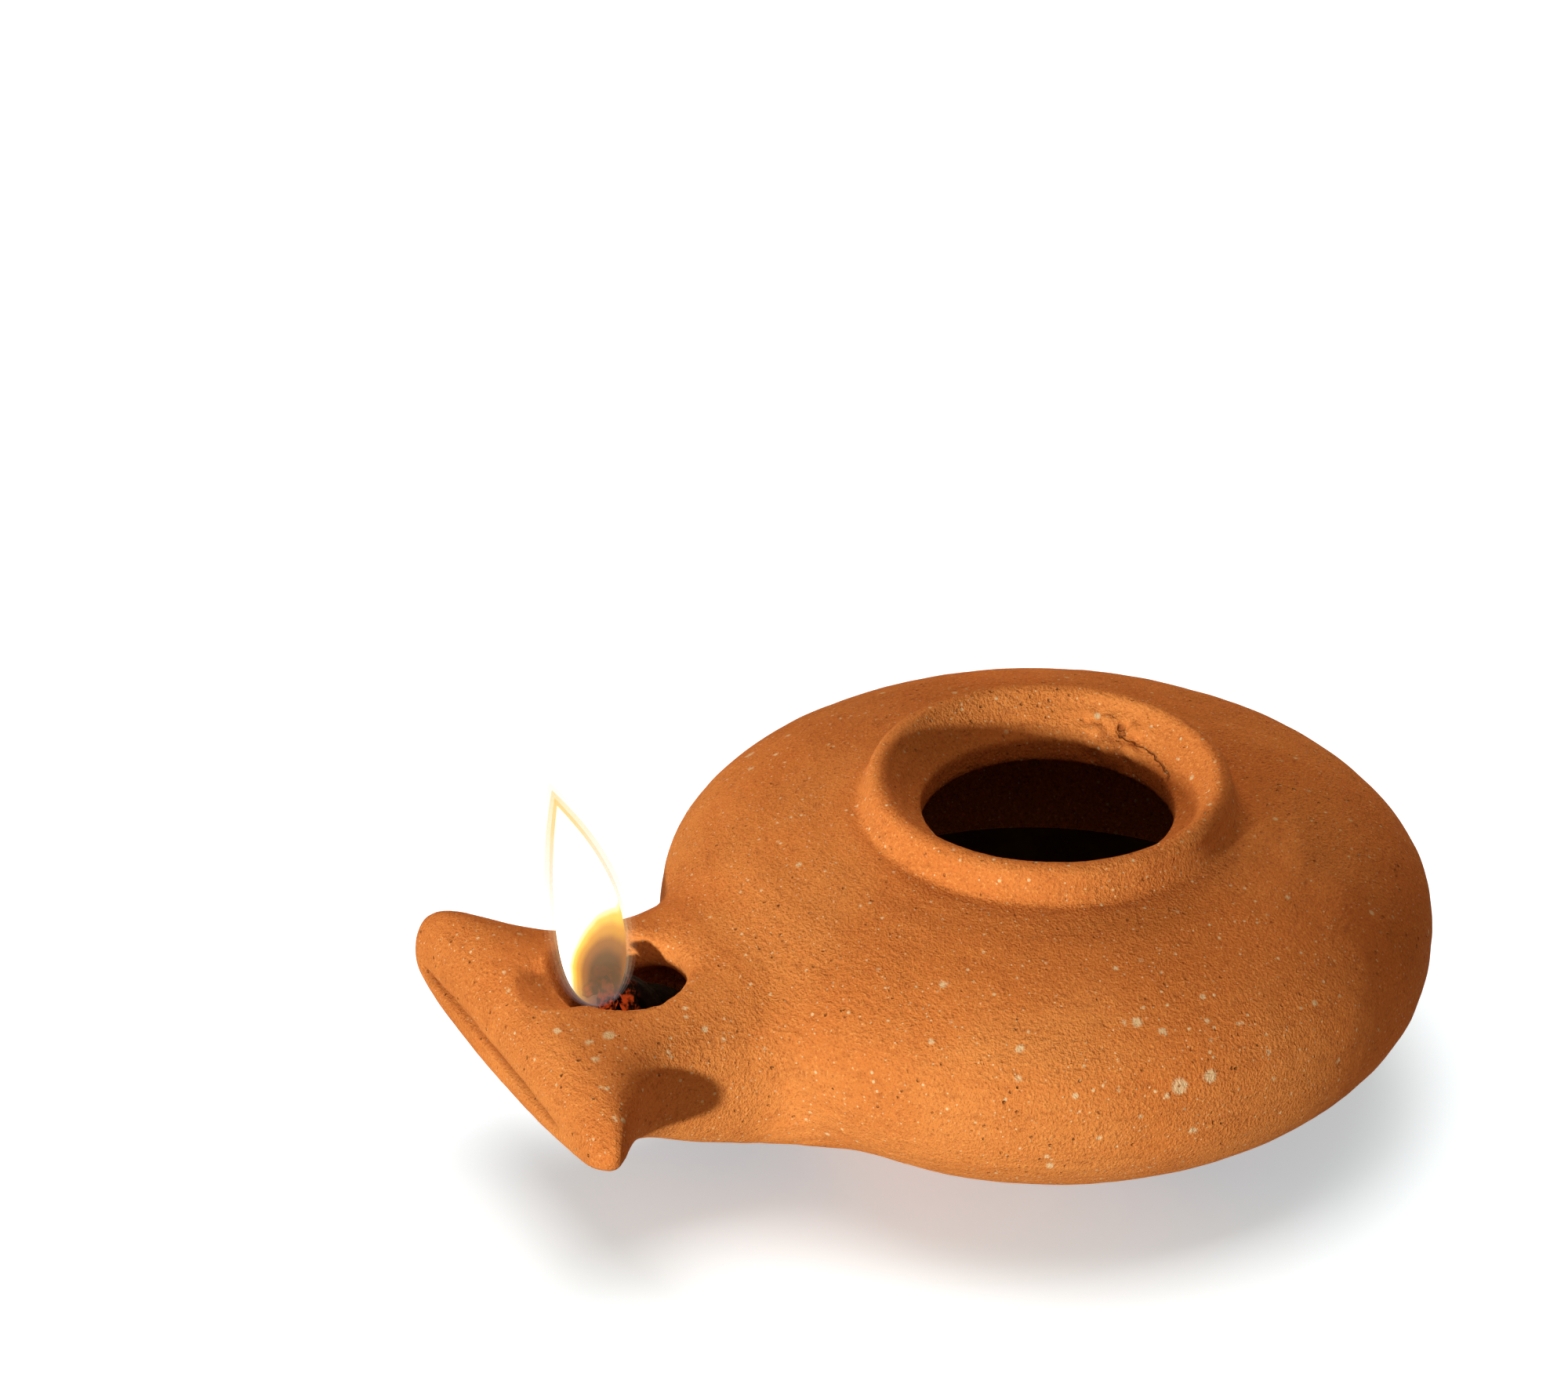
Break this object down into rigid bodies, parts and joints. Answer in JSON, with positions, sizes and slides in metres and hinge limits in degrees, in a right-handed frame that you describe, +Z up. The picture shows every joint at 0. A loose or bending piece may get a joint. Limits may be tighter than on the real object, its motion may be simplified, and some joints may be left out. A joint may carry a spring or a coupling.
{
  "type": "oil lamp",
  "caption": "Wheel-thrown terracotta oil lamp with a ring round its filling hole, a splayed pared nozzle, a twisted linen wick in oil and a flame.",
  "frame": {"origin": "centre of the flat base, on the thrown body's axis", "axes": "+Z up; the nozzle points along -Y; +X to the right when looking along +Y at the nozzle's tip from in front of the lamp"},
  "size_m": [0.07, 0.0892, 0.0426],
  "materials": {
    "terracotta": "fine matt fired earthenware, orange brown with small white lime grits",
    "slip_clay": "wiped clay slip, matt",
    "olive_oil": "clear dark yellow liquid, still and glossy",
    "linen": "twisted flax fibre, soaked in oil and charred at the tip",
    "flame": "glowing gas, white core with yellow edges"
  },
  "bodies": {
    "lamp": {"thrown_body": "terracotta", "nozzle": "terracotta", "luting_slip": "slip_clay", "oil": "olive_oil"},
    "wick": {"wick_strand_1": "linen", "wick_strand_2": "linen", "wick_strand_3": "linen", "flame": "flame"}
  },
  "joints": [
    {"name": "wick_feed", "type": "slide", "parent": "lamp", "child": "wick", "axis": [0, -0.7071, 0.7071], "range_m": [0, 0.0025]}
  ]
}
